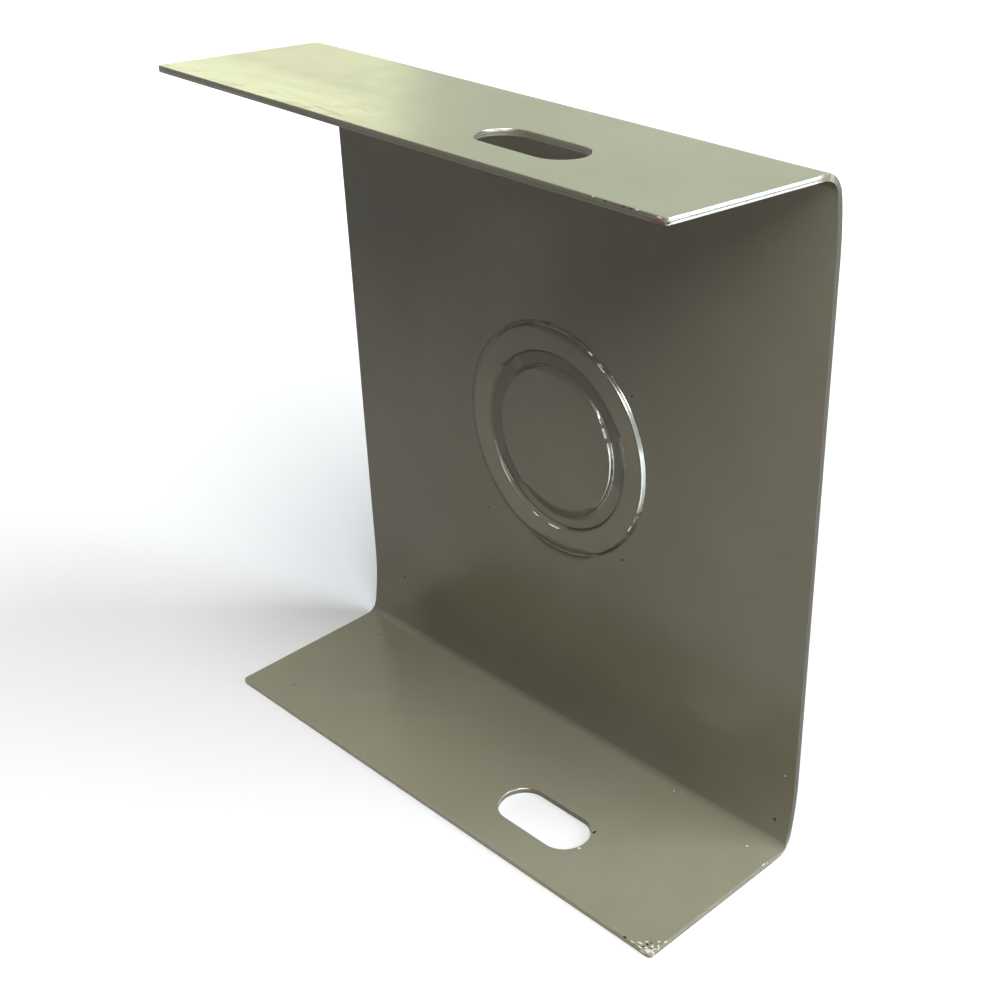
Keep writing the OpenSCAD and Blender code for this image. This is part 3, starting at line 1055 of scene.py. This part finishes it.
def speck_tree():
    """Geometry Nodes that set the known specks in place and scatter dust over the sheet."""
    tree, given = geometry_tree(
        "Scatter the specks",
        {
            "Places": "Geometry", "Sheet": "Object", "Per Square Metre": "Float",
            "Smallest": "Float", "Largest": "Float", "Speck Paint": "Material",
        },
        "Specks",
    )
    grain = node(tree, "GeometryNodeMeshIcoSphere", {"Radius": 1.0, "Subdivisions": 2})
    turned, size = (
        node(tree, "GeometryNodeInputNamedAttribute", {"Name": name}, data_type="FLOAT_VECTOR")
        for name in ("turned", "size")
    )
    turned = node(tree, "FunctionNodeEulerToRotation", [turned])
    known = node(
        tree, "GeometryNodeInstanceOnPoints",
        {"Points": given["Places"], "Instance": grain, "Rotation": turned, "Scale": size},
    )
    dust = scattered_dust(tree, given, grain)
    both = node(tree, "GeometryNodeJoinGeometry")
    for part in (known, dust):
        tree.links.new(part.outputs[0], both.inputs[0])
    real = node(tree, "GeometryNodeRealizeInstances", [both])
    # each speck's outline is pushed about a little
    here = node(tree, "GeometryNodeInputPosition")
    ragged = node(
        tree, "ShaderNodeTexNoise", {"Vector": here, "Scale": 1 / (0.35 * MM), "Detail": 1.0}
    )
    centred = node(
        tree, "ShaderNodeVectorMath", [ragged.outputs["Color"], (0.5, 0.5, 0.5)],
        operation="SUBTRACT",
    )
    push = node(tree, "ShaderNodeVectorMath", {0: centred, "Scale": 0.05 * MM}, operation="SCALE")
    uneven = node(tree, "GeometryNodeSetPosition", {"Geometry": real, "Offset": push})
    end_tree(tree, uneven, given["Speck Paint"])
    return tree


def keep(piece):
    """Hands a finished piece to the plate's body, root, so that it moves with it, and hides the
    imported plate.
    """
    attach(piece, "root")
    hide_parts(PLATE)


class COVERPLATE_OT_fold_sheet(bpy.types.Operator):
    """Cut the blank, press its knockout and fold it"""
    bl_idname = "coverplate.fold_sheet"
    bl_label = "Fold the Sheet"

    def execute(self, context):
        scene = context.scene
        sheet = scene.plate_sheet
        section = section_curve(sheet)
        mesh = blank_mesh(sheet, scene.plate_slots, scene.plate_knockout)
        blank = bpy.data.objects.new("blank", mesh)
        scene.collection.objects.link(blank)
        inputs = {"Section": section, "Enamel": baked_enamel(scene.plate_finish)}
        piece = grown(blank, fold_tree(), inputs, "folded_sheet")
        for helper in (blank, section):
            bpy.data.objects.remove(helper)
        keep(piece)
        return {"FINISHED"}


class COVERPLATE_OT_scatter_specks(bpy.types.Operator):
    """Set the specks of dust, rust and flaked paint on the folded sheet"""
    bl_idname = "coverplate.scatter_specks"
    bl_label = "Scatter the Specks"

    def execute(self, context):
        scene = context.scene
        sheet = bpy.data.objects.get("folded_sheet")
        if sheet is None:
            raise RuntimeError("Fold the sheet first: the specks lie on it")
        finish = scene.plate_finish
        places = speck_places(sheet)
        inputs = {
            "Sheet": sheet,
            "Per Square Metre": finish.specks,
            "Smallest": finish.speck_small,
            "Largest": finish.speck_large,
            "Speck Paint": speck_paint(finish),
        }
        piece = grown(places, speck_tree(), inputs, "paint_specks")
        bpy.data.objects.remove(places)
        keep(piece)
        return {"FINISHED"}


# The lamps, as {name: (side, heading, height, colour)}, with heading and height in degrees
LAMPS = {
    "high": (0.4, 60, 78, "#ffffff"),
    "upper": (0.4, 60, 62, "#ffffff"),
    "front": (0.4, 60, 42, "#ffffff"),
    "right": (0.4, 120, 62, "#ffffff"),
    "low": (0.7, 120, 20, "#e9f3ff"),
    "back": (0.4, 240, 20, "#f4ffb4"),
    "strip": (0.36, 238.6, 8, "#f6ffc0"),
    "far": (0.4, 221, 12, "#ceffb0"),
}
# How far the lamps stand from a point in the middle of the plate, and that point's height
LAMP_AWAY, PLATE_MIDDLE = 1.2, 60 * MM


def direction(heading, height):
    """The unit vector with this heading and height, in degrees."""
    turn, lift = math.radians(heading), math.radians(height)
    level = math.cos(lift)
    return Vector((level * math.cos(turn), level * math.sin(turn), math.sin(lift)))


def lamp(name, watts, side, heading, height, colour):
    """A square area lamp that faces the plate."""
    light = bpy.data.lights.new(name, "AREA")
    light.energy = watts
    light.size = side
    light.color = linear(colour)
    made = bpy.data.objects.new(name, light)
    bpy.context.scene.collection.objects.link(made)
    out = direction(heading, height)
    made.location = Vector((0, 0, PLATE_MIDDLE)) + LAMP_AWAY * out
    made.rotation_euler = (-out).to_track_quat("-Z", "Y").to_euler()


def seen_directly(tree, mirrored=1.0):
    """1 for what the camera sees, also through glass, this much in a reflection, else 0."""
    path = node(tree, "ShaderNodeLightPath").outputs
    seen = node(
        tree, "ShaderNodeMath", [path["Is Camera Ray"], path["Is Transmission Ray"]],
        operation="MAXIMUM",
    )
    faint = node(tree, "ShaderNodeMath", [path["Is Glossy Ray"], mirrored], operation="MULTIPLY")
    return node(tree, "ShaderNodeMath", [seen, faint], operation="MAXIMUM")


def white_room(mirrored):
    """A room that is white where the camera or a reflection sees it, and sheds no light itself."""
    world = bpy.data.worlds.new("white_room")
    world.use_nodes = True
    tree = world.node_tree
    tree.nodes.clear()
    white = {"Color": (1, 1, 1, 1), "Strength": seen_directly(tree, mirrored)}
    light = node(tree, "ShaderNodeBackground", white)
    node(tree, "ShaderNodeOutputWorld", [light])
    bpy.context.scene.world = world


def pale_floor():
    """A plain white floor that keeps the plate's shadow, and throws little light back up."""
    material, tree, where = material_tree("pale_floor")
    matt, dull = (
        node(tree, "ShaderNodeBsdfDiffuse", {"Color": (*linear(code), 1)})
        for code in ("#f4f4f4", "#75695c")
    )
    # far from the lamps' pool of light the floor keeps its white by itself
    away = node(tree, "ShaderNodeVectorMath", [where], operation="LENGTH").outputs["Value"]
    plain = node(tree, "ShaderNodeMapRange", [away, 0.12, 0.5, 0.05, 0.92])
    plain = node(tree, "ShaderNodeMath", [plain, seen_directly(tree, 0.0)], operation="MULTIPLY")
    mirrored = node(tree, "ShaderNodeMapRange", [away, 0.25, 1.2, 0.05, 0.9])
    lift = node(tree, "ShaderNodeMath", [plain, mirrored], operation="MAXIMUM")
    glow = node(tree, "ShaderNodeEmission", {"Color": (1, 1, 1, 1), "Strength": lift})
    white = node(tree, "ShaderNodeAddShader", [matt, glow])
    mixed = node(tree, "ShaderNodeMixShader", [seen_directly(tree), dull, white])
    node(tree, "ShaderNodeOutputMaterial", [mixed])
    # just under the plate, and wide enough to fill every view
    half, z = 4.0, -0.05 * MM
    mesh = bpy.data.meshes.new("floor")
    corners = [(-half, -half, z), (half, -half, z), (half, half, z), (-half, half, z)]
    mesh.from_pydata(corners, [], [(0, 1, 2, 3)])
    mesh.materials.append(material)
    floor = bpy.data.objects.new("floor", mesh)
    bpy.context.scene.collection.objects.link(floor)
    floor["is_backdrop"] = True


# Where the photograph was taken from: its place, its heading, height and lean in degrees, and how
# far its frame is shifted
CAMERA_AT = Vector((156.681, 189.328, 196.608)) * MM
CAMERA_HEADING, CAMERA_HEIGHT, CAMERA_LEAN = -133.357, -33.314, -2.499
CAMERA_SHIFT = (-0.0662, 0.1070)


def photo_camera(lens):
    """A camera in the photograph's place, of this focal length in millimetres."""
    camera = bpy.data.cameras.new("camera")
    camera.lens = lens
    camera.sensor_width = 36
    camera.clip_start = 0.01
    camera.shift_x, camera.shift_y = CAMERA_SHIFT
    made = bpy.data.objects.new("camera", camera)
    bpy.context.scene.collection.objects.link(made)
    forward = direction(CAMERA_HEADING, CAMERA_HEIGHT)
    turn = forward.to_track_quat("-Z", "Y").to_matrix().to_4x4()
    turn = turn @ Matrix.Rotation(math.radians(CAMERA_LEAN), 4, "Z")
    made.matrix_world = Matrix.Translation(CAMERA_AT) @ turn
    return made


class COVERPLATE_OT_stage(bpy.types.Operator):
    """Set up the floor, the lamps and the camera"""
    bl_idname = "coverplate.stage"
    bl_label = "Set the Stage"

    def execute(self, context):
        studio = context.scene.plate_studio
        pale_floor()
        white_room(studio.room)
        for name, place in LAMPS.items():
            lamp(name, getattr(studio, name), *place)
        context.scene.camera = photo_camera(studio.lens)
        context.scene.view_settings.view_transform = "Standard"
        return {"FINISHED"}


class COVERPLATE_PT_panel(bpy.types.Panel):
    """The plate's makers and sizes"""
    bl_idname = "COVERPLATE_PT_panel"
    bl_label = "Cover Plate"
    bl_space_type = "VIEW_3D"
    bl_region_type = "UI"
    bl_category = "Cover Plate"

    def draw(self, context):
        for operator in MAKERS:
            self.layout.operator(operator.bl_idname)
        for group in GROUPS:
            settings = getattr(context.scene, group)
            box = self.layout.box()
            box.label(text=GROUPS[group].__doc__)
            for name in GROUPS[group].__annotations__:
                box.prop(settings, name)


GROUPS = {
    "plate_sheet": SheetSizes,
    "plate_slots": SlotSizes,
    "plate_knockout": KnockoutSizes,
    "plate_finish": Finish,
    "plate_studio": Studio,
}
MAKERS = (COVERPLATE_OT_fold_sheet, COVERPLATE_OT_scatter_specks, COVERPLATE_OT_stage)
CLASSES = (*GROUPS.values(), *MAKERS, COVERPLATE_PT_panel)


def register():
    for made in CLASSES:
        bpy.utils.register_class(made)
    for name, group in GROUPS.items():
        setattr(bpy.types.Scene, name, PointerProperty(type=group))


def unregister():
    for name in GROUPS:
        delattr(bpy.types.Scene, name)
    for made in reversed(CLASSES):
        bpy.utils.unregister_class(made)


def main():
    register()
    bpy.ops.coverplate.fold_sheet()
    bpy.ops.coverplate.scatter_specks()
    bpy.ops.coverplate.stage()
    boxes = {"cad": CAD_BOX, "visual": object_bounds()}
    plain = {name: [list(corner) for corner in box] for name, box in boxes.items()}


if __name__ == "__main__":
    main()
